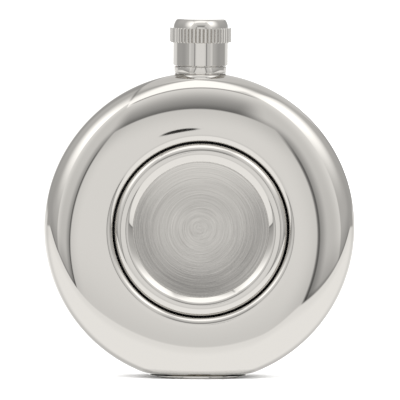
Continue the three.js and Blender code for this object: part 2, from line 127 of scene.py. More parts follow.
def close_up(piece):
    """Merges the doubles of an edited mesh, turns its faces outwards and leaves edit mode."""
    bpy.ops.mesh.select_all(action="SELECT")
    bpy.ops.mesh.remove_doubles(threshold=MERGE_DISTANCE)
    bpy.ops.mesh.normals_make_consistent(inside=False)
    bpy.ops.object.mode_set(mode="OBJECT")
    bpy.ops.object.shade_smooth_by_angle(angle=SMOOTH_ANGLE)
    return piece


def turn_about_body(piece):
    """Spins a drawn profile about the body's axis."""
    bpy.ops.mesh.select_all(action="SELECT")
    bpy.ops.mesh.spin(steps=BODY_STEPS, angle=FULL_TURN, center=(0, 0, AXIS_HEIGHT), axis=(0, 1, 0))
    return close_up(piece)


def cut_away(piece, cutter):
    """Cuts one solid out of another and deletes the cutter."""
    bpy.ops.object.select_all(action="DESELECT")
    bpy.context.view_layer.objects.active = piece
    piece.select_set(True)
    cut = piece.modifiers.new("cut", "BOOLEAN")
    cut.operation = "DIFFERENCE"
    cut.solver = "EXACT"
    cut.object = cutter
    bpy.ops.object.modifier_apply(modifier=cut.name)
    bpy.data.objects.remove(cutter)
    bpy.ops.object.shade_smooth_by_angle(angle=SMOOTH_ANGLE)


foot_low, foot_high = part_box("foot_plate")
spout_low, spout_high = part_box("neck_spout")
SPOUT_RADIUS = spout_high.x
SPOUT_HOLE_CLEARANCE = 0.3 * MM
SADDLE_GAP = 0.05 * MM
NECK_STEPS = 128
CREASE_HEIGHT = 1.1 * MM
CREASE_INSET = 1 * MM
FLAT_STEPS = 48
half_turn = [math.pi * i / FLAT_STEPS for i in range(1, FLAT_STEPS)]


def crown_height_at(radius):
    """Depth of the body's surface in front of its middle plane, at a radius."""
    out = max(radius - CROWN_FLAT_RADIUS, 0) / CROWN_REACH
    return CROWN_HEIGHT * (1 - out ** CROWN_POWER) ** (1 / SIDE_POWER)


def level_loop(half_width, back, z):
    """A closed level line, the same on both sides, from its half width and the points of its back."""
    behind = [Vector((x, y, z)) for x, y in back]
    before = [Vector((x, -y, z)) for x, y in back[::-1]]
    right, left = Vector((half_width, 0, z)), Vector((-half_width, 0, z))
    return [right, *behind, left, *before, right]


def body_loop(z, inset):
    """The line in which a level plane cuts the body, set in from its surface."""
    drop = AXIS_HEIGHT - z
    half_width = math.sqrt(BODY_RADIUS ** 2 - drop ** 2)
    half_depth = crown_height_at(drop)
    slices = [half_width * math.cos(angle) for angle in half_turn]
    back = [(x, crown_height_at(math.hypot(x, drop))) for x in slices]
    narrow, thin = 1 - inset / half_width, 1 - inset / half_depth
    return level_loop(half_width * narrow, [(x * narrow, y * thin) for x, y in back], z)


def bridge(name, lower, upper):
    """A closed solid between two level lines."""
    bottom = draw_line(name, lower)
    bpy.ops.object.mode_set(mode="OBJECT")
    solid = draw_line(name, upper)
    bpy.ops.object.mode_set(mode="OBJECT")
    bottom.select_set(True)
    bpy.ops.object.join()
    bpy.ops.object.mode_set(mode="EDIT")
    bpy.ops.mesh.select_all(action="SELECT")
    bpy.ops.mesh.remove_doubles(threshold=MERGE_DISTANCE)
    bpy.ops.mesh.bridge_edge_loops()
    bpy.ops.mesh.select_all(action="SELECT")
    bpy.ops.mesh.fill_holes(sides=0)
    return solid


def cut_foot_and_neck(shell):
    """Cuts the flat under a shell with a turned-in edge, and the hole in its top for the spout."""
    crease_top = foot_high.z + CREASE_HEIGHT
    turned_in = body_loop(foot_high.z, CREASE_INSET)
    kept = bridge("turned_in_edge", turned_in, body_loop(crease_top, -SADDLE_GAP))
    close_up(kept)
    bpy.ops.mesh.primitive_cube_add(size=2 * BODY_RADIUS, location=(0, 0, crease_top - BODY_RADIUS))
    below = bpy.context.object
    cut_away(below, kept)
    cut_away(shell, below)
    bpy.ops.mesh.primitive_cylinder_add(
        vertices=NECK_STEPS,
        radius=SPOUT_RADIUS + SPOUT_HOLE_CLEARANCE,
        depth=BODY_RADIUS,
        location=(0, 0, AXIS_HEIGHT + BODY_RADIUS),
    )
    cut_away(shell, bpy.context.object)


def new_material(name):
    """A new node material, its node tree and its shader."""
    material = bpy.data.materials.new(name)
    material.use_nodes = True
    return material, material.node_tree, material.node_tree.nodes["Principled BSDF"]


def add_noise(tree, scale, detail):
    """A noise on the piece's own coordinates."""
    place = tree.nodes.new("ShaderNodeTexCoord")
    noise = tree.nodes.new("ShaderNodeTexNoise")
    noise.inputs["Scale"].default_value = scale
    noise.inputs["Detail"].default_value = detail
    tree.links.new(place.outputs["Object"], noise.inputs["Vector"])
    return noise.outputs["Fac"]


def vary_gloss(tree, pattern, roughness):
    """Lets a pattern run the roughness from one value to another."""
    rough = tree.nodes.new("ShaderNodeMapRange")
    rough.inputs["To Min"].default_value, rough.inputs["To Max"].default_value = roughness
    tree.links.new(pattern, rough.inputs["Value"])
    tree.links.new(rough.outputs["Result"], tree.nodes["Principled BSDF"].inputs["Roughness"])


def raise_surface(tree, pattern, height):
    """Lets a pattern raise the surface."""
    bump = tree.nodes.new("ShaderNodeBump")
    bump.inputs["Distance"].default_value = height
    tree.links.new(pattern, bump.inputs["Height"])
    tree.links.new(bump.outputs["Normal"], tree.nodes["Principled BSDF"].inputs["Normal"])


def dress(piece, material):
    """Gives the whole piece one material."""
    piece.data.materials.clear()
    piece.data.materials.append(material)


STEEL = (0.605, 0.586, 0.555, 1)
POLISH_ROUGHNESS = (0.012, 0.04)
WAVINESS_SCALE = 26
WAVINESS_DETAIL = 1
WAVINESS = 0.004 * MM
HAIRLINE_SCALE = 900
HAIRLINE_DETAIL = 3


def polished_steel():
    """Mirror polish: faint wandering of the sheet, and a haze of hairlines that comes and goes."""
    material, tree, shader = new_material("polished_steel")
    shader.inputs["Base Color"].default_value = STEEL
    shader.inputs["Metallic"].default_value = 1
    vary_gloss(tree, add_noise(tree, HAIRLINE_SCALE, HAIRLINE_DETAIL), POLISH_ROUGHNESS)
    raise_surface(tree, add_noise(tree, WAVINESS_SCALE, WAVINESS_DETAIL), WAVINESS)
    return material


polish = polished_steel()

back_outside = crown(CROWN_FLAT_RADIUS, 0) + [(0, CROWN_HEIGHT)]
back_inside = crown(CROWN_FLAT_RADIUS, SHEET) + [(0, CROWN_HEIGHT - SHEET)]
back_shell = turn_about_body(draw_section("back_shell_pressing", back_inside[::-1] + back_outside))
cut_foot_and_neck(back_shell)
dress(back_shell, polish)
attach(back_shell, "flask")
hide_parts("back_shell")


# Front shell
# The same pressing with a round opening, whose edge is rolled inwards into a short flange. The
# well is welded to the end of that flange, so only the bright rolled edge shows.
well_low, well_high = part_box("cup_well")
WELL_WALL = 0.7 * MM
WELL_BORE_RADIUS = well_high.x - WELL_WALL
LIP_WIDTH = 2.9 * MM
LIP_DEPTH = 1.9 * MM
LIP_STEPS = 20
FLANGE_END_Y = well_low.y
LIP_RADIUS = WELL_BORE_RADIUS + LIP_WIDTH
lip_y = -crown_height_at(LIP_RADIUS)


def arc(radius, y, size, start, end, steps):
    """Points of an arc round (radius, y), from one angle to another in degrees."""
    angles = [math.radians(start + (end - start) * i / steps) for i in range(steps + 1)]
    return [(radius + size * math.cos(a), y + size * math.sin(a)) for a in angles]


def lip_curve(width, depth):
    """Points of the rolled edge, a quarter of an oval from the face of the body to the flange."""
    return [(LIP_RADIUS + (r - LIP_RADIUS) * width, lip_y + LIP_DEPTH + y * depth) for r, y in quarter]


quarter = arc(LIP_RADIUS, 0, 1, 270, 180, LIP_STEPS)
front_outside = [(r, -y) for r, y in crown(LIP_RADIUS, 0)]
front_inside = [(r, -y) for r, y in crown(LIP_RADIUS, SHEET)]
lip = lip_curve(LIP_WIDTH, LIP_DEPTH)
lip_inside = lip_curve(LIP_WIDTH - SHEET, LIP_DEPTH - SHEET)[::-1]
flange = [(WELL_BORE_RADIUS, FLANGE_END_Y), (WELL_BORE_RADIUS + SHEET, FLANGE_END_Y)]
front_loop = front_outside + lip[1:] + flange + lip_inside[:-1] + front_inside[::-1] + front_outside[:1]
front_shell = turn_about_body(draw_section("front_shell_pressing", front_loop))
cut_foot_and_neck(front_shell)
dress(front_shell, polish)
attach(front_shell, "flask")
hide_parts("front_shell")


# Cup well
# A drawn steel pocket with a blind floor, welded behind the front shell's flange. It is left satin,
# as it came from the press, and only shows when the cup is out.
WELL_CORNER = 2 * MM
WELL_CORNER_STEPS = 8
WELL_FLOOR_Y = well_high.y - WELL_WALL
SATIN_ROUGHNESS = (0.26, 0.42)
SATIN_DARK = (0.31, 0.3, 0.283, 1)
SATIN_LIGHT = (0.71, 0.688, 0.651, 1)
SATIN_ANISOTROPY = 0.6
RING_SPACING = 0.32 * MM
RING_BREAKS = 0.8
RING_DETAIL = 2
RING_UNEVENNESS = 0.7
RING_HEIGHT = 0.02 * MM
LATHE_LEAN = Vector((0.06, 0, 0))
ACROSS_THE_AXIS = (1, 0, 1)


def feed(tree, socket, value):
    """Sets a socket to a constant, or links an earlier step to it."""
    if isinstance(value, bpy.types.NodeSocket):
        tree.links.new(value, socket)
    else:
        socket.default_value = value


def add_step(tree, kind, operation, values):
    """The outputs of one step of arithmetic, on constants or on earlier steps."""
    node = tree.nodes.new(kind)
    node.operation = operation
    for socket, value in zip(node.inputs, values):
        feed(tree, socket, value)
    return node.outputs


def number_step(tree, operation, *values):
    """One step of arithmetic on numbers."""
    return add_step(tree, "ShaderNodeMath", operation, values)[0]


def vector_step(tree, operation, *values):
    """The outputs of one step of arithmetic on vectors."""
    return add_step(tree, "ShaderNodeVectorMath", operation, values)


def satin_steel(name, roughness):
    """Steel finished on the lathe: rings about the body's axis, in colour, in gloss and in height."""
    material, tree, shader = new_material(name)
    shader.inputs["Metallic"].default_value = 1
    shader.inputs["Anisotropic"].default_value = SATIN_ANISOTROPY
    place = tree.nodes.new("ShaderNodeTexCoord").outputs["Object"]
    centred = tree.nodes.new("ShaderNodeMapping")
    centred.inputs["Location"].default_value = (0, 0, -AXIS_HEIGHT)
    tree.links.new(place, centred.inputs["Vector"])
    flat = vector_step(tree, "MULTIPLY", centred.outputs["Vector"], ACROSS_THE_AXIS)["Vector"]
    count = number_step(tree, "DIVIDE", vector_step(tree, "LENGTH", flat)["Value"], RING_SPACING)
    outward = tree.nodes.new("ShaderNodeCombineXYZ")
    tree.links.new(count, outward.inputs["Y"])
    around = vector_step(tree, "NORMALIZE", flat)["Vector"]
    broken = vector_step(tree, "MULTIPLY", around, (RING_BREAKS, RING_BREAKS, RING_BREAKS))["Vector"]
    spun = vector_step(tree, "ADD", outward.outputs["Vector"], broken)["Vector"]
    rings = tree.nodes.new("ShaderNodeTexNoise")
    rings.inputs["Scale"].default_value = 1
    rings.inputs["Detail"].default_value = RING_DETAIL
    rings.inputs["Roughness"].default_value = RING_UNEVENNESS
    tree.links.new(spun, rings.inputs["Vector"])
    tone = tree.nodes.new("ShaderNodeMix")
    tone.data_type = "RGBA"
    tone.inputs["A"].default_value = SATIN_DARK
    tone.inputs["B"].default_value = SATIN_LIGHT
    tree.links.new(rings.outputs["Fac"], tone.inputs["Factor"])
    tree.links.new(tone.outputs["Result"], shader.inputs["Base Color"])
    vary_gloss(tree, rings.outputs["Fac"], roughness)
    lean = vector_step(tree, "DOT_PRODUCT", place, LATHE_LEAN / RING_HEIGHT)["Value"]
    raise_surface(tree, number_step(tree, "ADD", rings.outputs["Fac"], lean), RING_HEIGHT)
    tangent = tree.nodes.new("ShaderNodeTangent")
    tangent.direction_type = "RADIAL"
    tangent.axis = "Y"
    tree.links.new(tangent.outputs["Tangent"], shader.inputs["Tangent"])
    return material


well_corner = (WELL_BORE_RADIUS - WELL_CORNER, WELL_FLOOR_Y - WELL_CORNER)
well_loop = [
    (0, WELL_FLOOR_Y),
    *arc(*well_corner, WELL_CORNER, 90, 0, WELL_CORNER_STEPS),
    (WELL_BORE_RADIUS, FLANGE_END_Y),
    (WELL_BORE_RADIUS + WELL_WALL, FLANGE_END_Y),
    *arc(*well_corner, WELL_CORNER + WELL_WALL, 0, 90, WELL_CORNER_STEPS),
    (0, WELL_FLOOR_Y + WELL_WALL),
]
cup_well = turn_about_body(draw_section("cup_well_pocket", well_loop))
dress(cup_well, satin_steel("drawn_satin_steel", SATIN_ROUGHNESS))
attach(cup_well, "flask")
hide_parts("cup_well")


# Foot plate
# A shallow pressing of polished sheet that the round flask stands on: an oval cup with a rounded
# sole, and a thin flange that follows the flat and is welded to it.
FOOT_EDGE = 0.25 * MM
FLANGE_THICKNESS = 0.12 * MM
FLANGE_INSET = 0.3 * MM
SOLE_END_INSET = 2.6 * MM
SOLE_SIDE_INSET = 0.6 * MM
flange_bottom = foot_high.z - FLANGE_THICKNESS
sole_width = foot_high.x + FLANGE_INSET - SOLE_END_INSET
sole_depth = crown_height_at(AXIS_HEIGHT - foot_high.z) - SOLE_SIDE_INSET
sole_back = [(sole_width * math.cos(angle), sole_depth * math.sin(angle)) for angle in half_turn]
sole_loop = level_loop(sole_width, sole_back, foot_low.z)
flange_loop = body_loop(foot_high.z, FLANGE_INSET)
lower_loop = [point - Vector((0, 0, FLANGE_THICKNESS)) for point in flange_loop]
foot_flange = bridge("foot_flange", lower_loop, flange_loop)
close_up(foot_flange)
foot_plate = bridge("foot_plate_pressing", sole_loop, level_loop(sole_width, sole_back, flange_bottom))
select_points(foot_plate, sole_loop)
bpy.ops.mesh.bevel(offset=FOOT_EDGE, segments=CORNER_SEGMENTS, affect="EDGES")
close_up(foot_plate)
foot_flange.select_set(True)
bpy.ops.object.join()
dress(foot_plate, polish)
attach(foot_plate, "flask")
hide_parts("foot_plate")


# Neck collar
# A turned and polished ring that is brazed to the top of the body: a plain band under the cap, a
# fine groove, a bead, and a root that is shaped to the curve of the shells.
def upright(radius, z):
    """A point of a profile that turns about the upright axis of the neck and the cap."""
    return Vector((radius, 0, z))


def draw_upright(name, corners):
    """Draws half the section of a piece that turns about the upright axis, from radii and heights."""
    return draw_line(name, [upright(r, z) for r, z in corners])


def turn_upright(piece):
    """Spins a drawn profile about the upright axis."""
    bpy.ops.mesh.select_all(action="SELECT")
    bpy.ops.mesh.spin(steps=NECK_STEPS, angle=FULL_TURN, center=(0, 0, 0), axis=(0, 0, 1))
    return close_up(piece)


collar_low, collar_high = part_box("neck_collar")
COLLAR_BEAD_REACH = 0.4 * MM
COLLAR_RADIUS = collar_high.y - COLLAR_BEAD_REACH
COLLAR_BORE_CLEARANCE = 0.1 * MM
COLLAR_BORE_RADIUS = SPOUT_RADIUS + COLLAR_BORE_CLEARANCE
COLLAR_EDGE = 0.2 * MM
COLLAR_BAND = 2.1 * MM
COLLAR_GROOVE = 0.3 * MM
COLLAR_BEAD = 2.3 * MM
COLLAR_ROOT_STEP = 0.75 * MM
BEAD_STEPS = 16
band_bottom = collar_high.z - COLLAR_BAND
bead_top = band_bottom - COLLAR_GROOVE
groove_radius = COLLAR_RADIUS - COLLAR_GROOVE
root_radius = COLLAR_RADIUS - COLLAR_ROOT_STEP
bead_end = math.degrees(math.acos((groove_radius - root_radius) / (COLLAR_BEAD / 2)))
bead = arc(root_radius, bead_top - COLLAR_BEAD / 2, COLLAR_BEAD / 2, -90, bead_end, BEAD_STEPS)
collar_corners = [
    (COLLAR_BORE_RADIUS, collar_low.z),
    (root_radius, collar_low.z),
    *bead,
    (groove_radius, band_bottom),
    (COLLAR_RADIUS, band_bottom),
    (COLLAR_RADIUS, collar_high.z),
    (COLLAR_BORE_RADIUS, collar_high.z),
    (COLLAR_BORE_RADIUS, collar_low.z),
]
collar = draw_upright("neck_collar_ring", collar_corners)
band_edges = [upright(COLLAR_RADIUS, band_bottom), upright(COLLAR_RADIUS, collar_high.z)]
round_corners(collar, band_edges, COLLAR_EDGE)
turn_upright(collar)
saddle = crown(CROWN_FLAT_RADIUS, -SADDLE_GAP) + [(0, CROWN_HEIGHT + SADDLE_GAP)]
saddle_profile = [(r, -y) for r, y in saddle[:0:-1]] + saddle
saddle_body = turn_about_body(draw_section("saddle_body", saddle_profile))
cut_away(collar, saddle_body)
dress(collar, polish)
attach(collar, "flask")
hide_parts("neck_collar")


# Neck spout
# A turned steel tube, soldered into the collar. A right-hand thread is rolled onto it for the cap,
# and its lip is rounded inside and out where the drink pours.
SPOUT_WALL = 1.9 * MM
SPOUT_LIP = 0.5 * MM
THREAD_PITCH = 3.175 * MM
THREAD_TURNS = 2.5
THREAD_HEIGHT = 0.36 * MM
THREAD_SINK = 0.06 * MM
THREAD_ROOT_WIDTH = 1.5 * MM
THREAD_CREST_WIDTH = 0.7 * MM
THREAD_TOP_MARGIN = 1.2 * MM
THREAD_STEPS = 72
spout_bore = SPOUT_RADIUS - SPOUT_WALL
spout_corners = [
    (spout_bore, spout_low.z),
    (SPOUT_RADIUS, spout_low.z),
    (SPOUT_RADIUS, spout_high.z),
    (spout_bore, spout_high.z),
    (spout_bore, spout_low.z),
]
spout = draw_upright("neck_spout_tube", spout_corners)
round_corners(spout, [upright(SPOUT_RADIUS, spout_high.z), upright(spout_bore, spout_high.z)], SPOUT_LIP)
turn_upright(spout)


def add_thread(piece, root_radius, crest_radius, start_z):
    """Winds a ridge up the wall of a turned piece, from root_radius to crest_radius, and joins it on."""
    half_root, half_crest = THREAD_ROOT_WIDTH / 2, THREAD_CREST_WIDTH / 2
    section = [
        (root_radius, start_z - half_root),
        (crest_radius, start_z - half_crest),
        (crest_radius, start_z + half_crest),
        (root_radius, start_z + half_root),
        (root_radius, start_z - half_root),
    ]
    ridge = draw_upright("thread_ridge", section)
    bpy.ops.mesh.select_all(action="SELECT")
    bpy.ops.mesh.remove_doubles(threshold=MERGE_DISTANCE)
    bpy.ops.object.mode_set(mode="OBJECT")
    wind = ridge.modifiers.new("wind", "SCREW")
    wind.axis = "Z"
    wind.angle = FULL_TURN * THREAD_TURNS
    wind.screw_offset = THREAD_PITCH * THREAD_TURNS
    wind.steps = round(THREAD_STEPS * THREAD_TURNS)
    wind.render_steps = wind.steps
    bpy.ops.object.modifier_apply(modifier=wind.name)
    bpy.ops.object.mode_set(mode="EDIT")
    bpy.ops.mesh.select_all(action="SELECT")
    bpy.ops.mesh.fill_holes(sides=0)
    close_up(ridge)
    piece.select_set(True)
    bpy.context.view_layer.objects.active = piece
    bpy.ops.object.join()


thread_start = spout_high.z - THREAD_TOP_MARGIN - THREAD_TURNS * THREAD_PITCH
add_thread(spout, SPOUT_RADIUS - THREAD_SINK, SPOUT_RADIUS + THREAD_HEIGHT, thread_start)
dress(spout, polish)
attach(spout, "flask")
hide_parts("neck_spout")


# Cup sections
# Three open cones of thin spun steel that nest inside each other, mirror polished. Each is drawn out
# of the next until its taper wedges. The largest is the mouth, rolled outwards to drink from.
CUP_WALL = 0.5 * MM
CUP_EDGE = 0.15 * MM
CUP_EDGE_SEGMENTS = 3
CUP_TAPER_ANGLE = math.radians(3)
CUP_TAPER = math.tan(CUP_TAPER_ANGLE)
MOUTH_BEAD = 1.4 * MM
MOUTH_BEAD_ARC = (-60, 180)
MOUTH_STEPS = 20


def cone_ends(node):
    """Outside radius and place of a section's small end, and the place of its wide end."""
    low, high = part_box(node)
    return high.x, low.y, high.y


for node, body in (("cup_third_section", "cup_third"), ("cup_second_section", "cup_second")):
    wide, small_y, wide_y = cone_ends(node)
    small = wide - (wide_y - small_y) * CUP_TAPER
    cone_corners = [
        (small, small_y),
        (wide, wide_y),
        (wide - CUP_WALL, wide_y),
        (small - CUP_WALL, small_y),
        (small, small_y),
    ]
    cone = draw_section(node.replace("section", "cone"), cone_corners)
    round_corners(cone, [on_body_axis(r, y) for r, y in cone_corners], CUP_EDGE, CUP_EDGE_SEGMENTS)
    turn_about_body(cone)
    dress(cone, polish)
    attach(cone, body)
    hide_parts(node)

mouth_reach, mouth_small_y, mouth_wide_y = cone_ends("cup_mouth_section")
bead_radius = MOUTH_BEAD / 2
mouth_bead = (mouth_reach - bead_radius, mouth_wide_y - bead_radius)
mouth_inside = mouth_reach - MOUTH_BEAD
mouth_small_inside = mouth_inside - (mouth_bead[1] - mouth_small_y) * CUP_TAPER
mouth_corners = [
    (mouth_small_inside, mouth_small_y),
    (mouth_small_inside + CUP_WALL, mouth_small_y),
    (mouth_inside + CUP_WALL - bead_radius * CUP_TAPER, mouth_bead[1] - bead_radius),
    *arc(*mouth_bead, bead_radius, *MOUTH_BEAD_ARC, MOUTH_STEPS),
    (mouth_small_inside, mouth_small_y),
]
mouth = draw_section("cup_mouth_cone", mouth_corners)
round_corners(mouth, [on_body_axis(r, y) for r, y in mouth_corners[:2]], CUP_EDGE, CUP_EDGE_SEGMENTS)
turn_about_body(mouth)
dress(mouth, polish)
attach(mouth, "cup_mouth")
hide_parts("cup_mouth_section")


# Cup foot ring
# A turned steel ring pressed round the cup's floor, mirror polished: a wide round outside, a narrow
# flat face, and a small round that runs into a slope down to the floor. A groove in its side holds
# the rubber ring.
RIM_OUTER_ROUND = 4 * MM
RIM_OUTER_WIDTH = 2.9 * MM
RIM_RELIEF = 0.15 * MM
RIM_FLAT_WIDTH = 0.2 * MM
RIM_INNER_ROUND = 3.2 * MM
RIM_INNER_WIDTH = 3.1 * MM
RIM_INNER_SLOPE = math.radians(33)
RIM_STEPS = 20
RIM_EDGE = 0.12 * MM
FLOOR_SEAT_WIDTH = 0.95 * MM
FLOOR_SEAT_LIP = 0.4 * MM
rubber_low, rubber_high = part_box("cup_retaining_ring")
RUBBER_THICKNESS = 1.5 * MM
GROOVE_CLEARANCE = 0.15 * MM
rubber_y = (rubber_low.y + rubber_high.y) / 2
rubber_radius = rubber_high.x - RUBBER_THICKNESS / 2
groove_half = RUBBER_THICKNESS / 2 + GROOVE_CLEARANCE
groove_floor = rubber_radius - groove_half
ring_radius = ring_high.x
front_radius = ring_radius - RIM_RELIEF
ring_back_y = ring_high.y
rim_y = ring_low.y
rim_outer = front_radius - RIM_OUTER_WIDTH
rim_inner = rim_outer - RIM_FLAT_WIDTH
disc_radius = rim_inner - RIM_INNER_WIDTH
seat_radius = disc_radius + FLOOR_SEAT_WIDTH
outer_turn = math.degrees(math.asin(RIM_OUTER_WIDTH / RIM_OUTER_ROUND))
inner_turn = math.degrees(RIM_INNER_SLOPE)
outer_round = arc(rim_outer, rim_y + RIM_OUTER_ROUND, RIM_OUTER_ROUND, 270 + outer_turn, 270, RIM_STEPS)
inner_round = arc(rim_inner, rim_y + RIM_INNER_ROUND, RIM_INNER_ROUND, 270, 270 - inner_turn, RIM_STEPS)
slope_start, slope_y = inner_round[-1]
rim_foot_y = slope_y + (slope_start - disc_radius) * math.tan(RIM_INNER_SLOPE)
ring_side = [
    (disc_radius, rim_foot_y),
    (disc_radius, rim_foot_y + FLOOR_SEAT_LIP),
    (seat_radius, rim_foot_y + FLOOR_SEAT_LIP),
    (seat_radius, ring_back_y),
    (ring_radius, ring_back_y),
    (ring_radius, rubber_y + groove_half),
    (groove_floor, rubber_y + groove_half),
    (groove_floor, rubber_y - groove_half),
    (front_radius, rubber_y - groove_half),
]
ring_loop = outer_round + inner_round + ring_side + outer_round[:1]
foot_ring = draw_section("cup_foot_ring_turned", ring_loop)
broken_edges = [
    outer_round[0],
    (disc_radius, rim_foot_y),
    (ring_radius, ring_back_y),
    (ring_radius, rubber_y + groove_half),
    (front_radius, rubber_y - groove_half),
]
round_corners(foot_ring, [on_body_axis(r, y) for r, y in broken_edges], RIM_EDGE)
turn_about_body(foot_ring)
dress(foot_ring, polish)
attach(foot_ring, "cup_base")
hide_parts("cup_foot_ring")


# Cup bottom section
# The innermost cone is spun in one piece with its floor, which is dished inwards. The floor is what
# shows in the middle of the front, left with the fine rings of the lathe tool in a satin finish.
CUP_FLOOR = 0.8 * MM
CUP_FLOOR_DISH = 3.1 * MM
CUP_FLOOR_CORNER = 0.25 * MM
DISH_STEPS = 40
FLOOR_ROUGHNESS = (0.18, 0.3)
bottom_wide, cup_floor_y, bottom_wide_y = cone_ends("cup_bottom_section")
bottom_radius = bottom_wide - (bottom_wide_y - ring_back_y) * CUP_TAPER
dish_radius = (disc_radius ** 2 + CUP_FLOOR_DISH ** 2) / (2 * CUP_FLOOR_DISH)
dish_middle = cup_floor_y + CUP_FLOOR_DISH - dish_radius
dish_edge = math.degrees(math.acos(disc_radius / dish_radius))
bottom_loop = [
    (0, cup_floor_y + CUP_FLOOR_DISH),
    *arc(0, dish_middle, dish_radius, 90, dish_edge, DISH_STEPS)[1:],
    (bottom_radius, cup_floor_y),
    (bottom_radius, ring_back_y),
    (bottom_wide, bottom_wide_y),
    (bottom_wide - CUP_WALL, bottom_wide_y),
    (bottom_radius - CUP_WALL, ring_back_y),
    (bottom_radius - CUP_WALL, cup_floor_y + CUP_FLOOR),
    *arc(0, dish_middle, dish_radius + CUP_FLOOR, dish_edge, 90, DISH_STEPS)[:-1],
    (0, cup_floor_y + CUP_FLOOR_DISH + CUP_FLOOR),
]
bottom = draw_section("cup_bottom_cone", bottom_loop)
floor_corners = [
    on_body_axis(bottom_radius, cup_floor_y),
    on_body_axis(bottom_radius - CUP_WALL, cup_floor_y + CUP_FLOOR),
]
wide_edges = [
    on_body_axis(bottom_wide, bottom_wide_y),
    on_body_axis(bottom_wide - CUP_WALL, bottom_wide_y),
]
round_corners(bottom, floor_corners, CUP_FLOOR_CORNER)
round_corners(bottom, wide_edges, CUP_EDGE, CUP_EDGE_SEGMENTS)
turn_about_body(bottom)
dress(bottom, satin_steel("spun_satin_steel", FLOOR_ROUGHNESS))
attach(bottom, "cup_base")
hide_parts("cup_bottom_section")


# Cup retaining ring
# A black rubber ring, stretched into the groove of the foot ring. It drags on the wall of the well
# and keeps the cup in, and shows as a thin black line round the polished ring.
RUBBER_SIDES = 24
RUBBER = (0.006, 0.006, 0.006, 1)
RUBBER_GLOSS = 0.3
RUBBER_ROUGHNESS = (0.5, 0.75)
RUBBER_GRAIN_SCALE = 2500
RUBBER_GRAIN = 0.002 * MM
GRAIN_DETAIL = 2


def grained(name, colour, scale, roughness, depth):
    """A moulded material and its shader, with the fine grain of the mould in gloss and in height."""
    material, tree, shader = new_material(name)
    shader.inputs["Base Color"].default_value = colour
    grain = add_noise(tree, scale, GRAIN_DETAIL)
    vary_gloss(tree, grain, roughness)
    raise_surface(tree, grain, depth)
    return material, shader


black_rubber, rubber_shader = grained(
    "black_rubber", RUBBER, RUBBER_GRAIN_SCALE, RUBBER_ROUGHNESS, RUBBER_GRAIN
)
rubber_shader.inputs["Specular IOR Level"].default_value = RUBBER_GLOSS
rubber_loop = arc(rubber_radius, rubber_y, RUBBER_THICKNESS / 2, 0, 360, RUBBER_SIDES)
rubber_ring = turn_about_body(draw_section("cup_rubber_ring", rubber_loop))
dress(rubber_ring, black_rubber)
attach(rubber_ring, "cup_base")
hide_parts("cup_retaining_ring")


# Cap gasket
# A moulded disc of white silicone that is laid in the cap, under its dome. It seals on the lip of
# the spout.
gasket_low, gasket_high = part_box("cap_gasket")
GASKET_EDGE = 0.25 * MM
SILICONE = (0.78, 0.76, 0.71, 1)
MOULDED_ROUGHNESS = (0.42, 0.6)
MOULDED_GRAIN_SCALE = 1400
MOULDED_GRAIN = 0.008 * MM
MOULDED_MILKINESS = 0.3
MOULDED_DEPTH = 0.4 * MM


def moulded(name, colour):
    """A pale moulded material that light enters a little, with a fine spark-eroded grain."""
    material, shader = grained(name, colour, MOULDED_GRAIN_SCALE, MOULDED_ROUGHNESS, MOULDED_GRAIN)
    shader.inputs["Subsurface Weight"].default_value = MOULDED_MILKINESS
    shader.inputs["Subsurface Scale"].default_value = MOULDED_DEPTH
    return material


gasket_corners = [
    (0, gasket_low.z),
    (gasket_high.x, gasket_low.z),
    (gasket_high.x, gasket_high.z),
    (0, gasket_high.z),
]
gasket = draw_upright("cap_gasket_disc", gasket_corners)
round_corners(gasket, [upright(r, z) for r, z in gasket_corners[1:3]], GASKET_EDGE)
turn_upright(gasket)
dress(gasket, moulded("white_silicone", SILICONE))
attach(gasket, "cap_liner")
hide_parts("cap_gasket")


# Cap thread bush
# A moulded bush of white nylon that is pressed into the cap. Its thread runs on the thread of the
# spout.
bush_low, bush_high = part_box("cap_thread_bush")
BUSH_WALL = 0.8 * MM
BUSH_EDGE = 0.2 * MM
BUSH_THREAD_HEIGHT = 0.3 * MM
NYLON = (0.82, 0.79, 0.72, 1)
bush_bore = bush_high.x - BUSH_WALL
bush_corners = [
    (bush_bore, bush_low.z),
    (bush_high.x, bush_low.z),
    (bush_high.x, bush_high.z),
    (bush_bore, bush_high.z),
    (bush_bore, bush_low.z),
]
bush = draw_upright("cap_thread_bush_moulding", bush_corners)
round_corners(bush, [upright(r, z) for r, z in bush_corners], BUSH_EDGE)
turn_upright(bush)
add_thread(bush, bush_bore + THREAD_SINK, bush_bore - BUSH_THREAD_HEIGHT, thread_start - THREAD_PITCH / 2)
dress(bush, moulded("white_nylon", NYLON))
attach(bush, "cap")
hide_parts("cap_thread_bush")


# Cap shell
# Turned from steel and mirror polished: a plain skirt, a proud band of straight flutes to grip, and
# a low dome with a bulging wall and a rounded shoulder. Drawn as rings from the ceiling of the bore
# down, outwards and up.
cap_low, cap_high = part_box("cap_shell")
CAP_WALL = 0.8 * MM
BUSH_PRESS_CLEARANCE = 0.1 * MM
CAP_CROWN_THICKNESS = 1.9 * MM
SKIRT_HEIGHT = 8 * MM
SKIRT_EDGE = 0.15 * MM
GRIP_HEIGHT = 5 * MM
GRIP_EDGE = 0.18 * MM
FLUTE_COUNT = 48
FLUTE_POINTS = 8
FLUTE_DEPTH = 0.5 * MM
FLUTE_SHAPE = (0.12, 0.5, 1, 0.5, 0.12)
DOME_WALL_ROUND = 6 * MM
DOME_WALL_LEAN = (4, 30)
DOME_RISE = 0.2 * MM
DOME_STEPS = 12
SHOULDER_STEPS = 12
cap_bore = bush_high.x + BUSH_PRESS_CLEARANCE
skirt_radius = cap_bore + CAP_WALL
grip_radius = cap_high.x
cap_bottom = cap_low.z
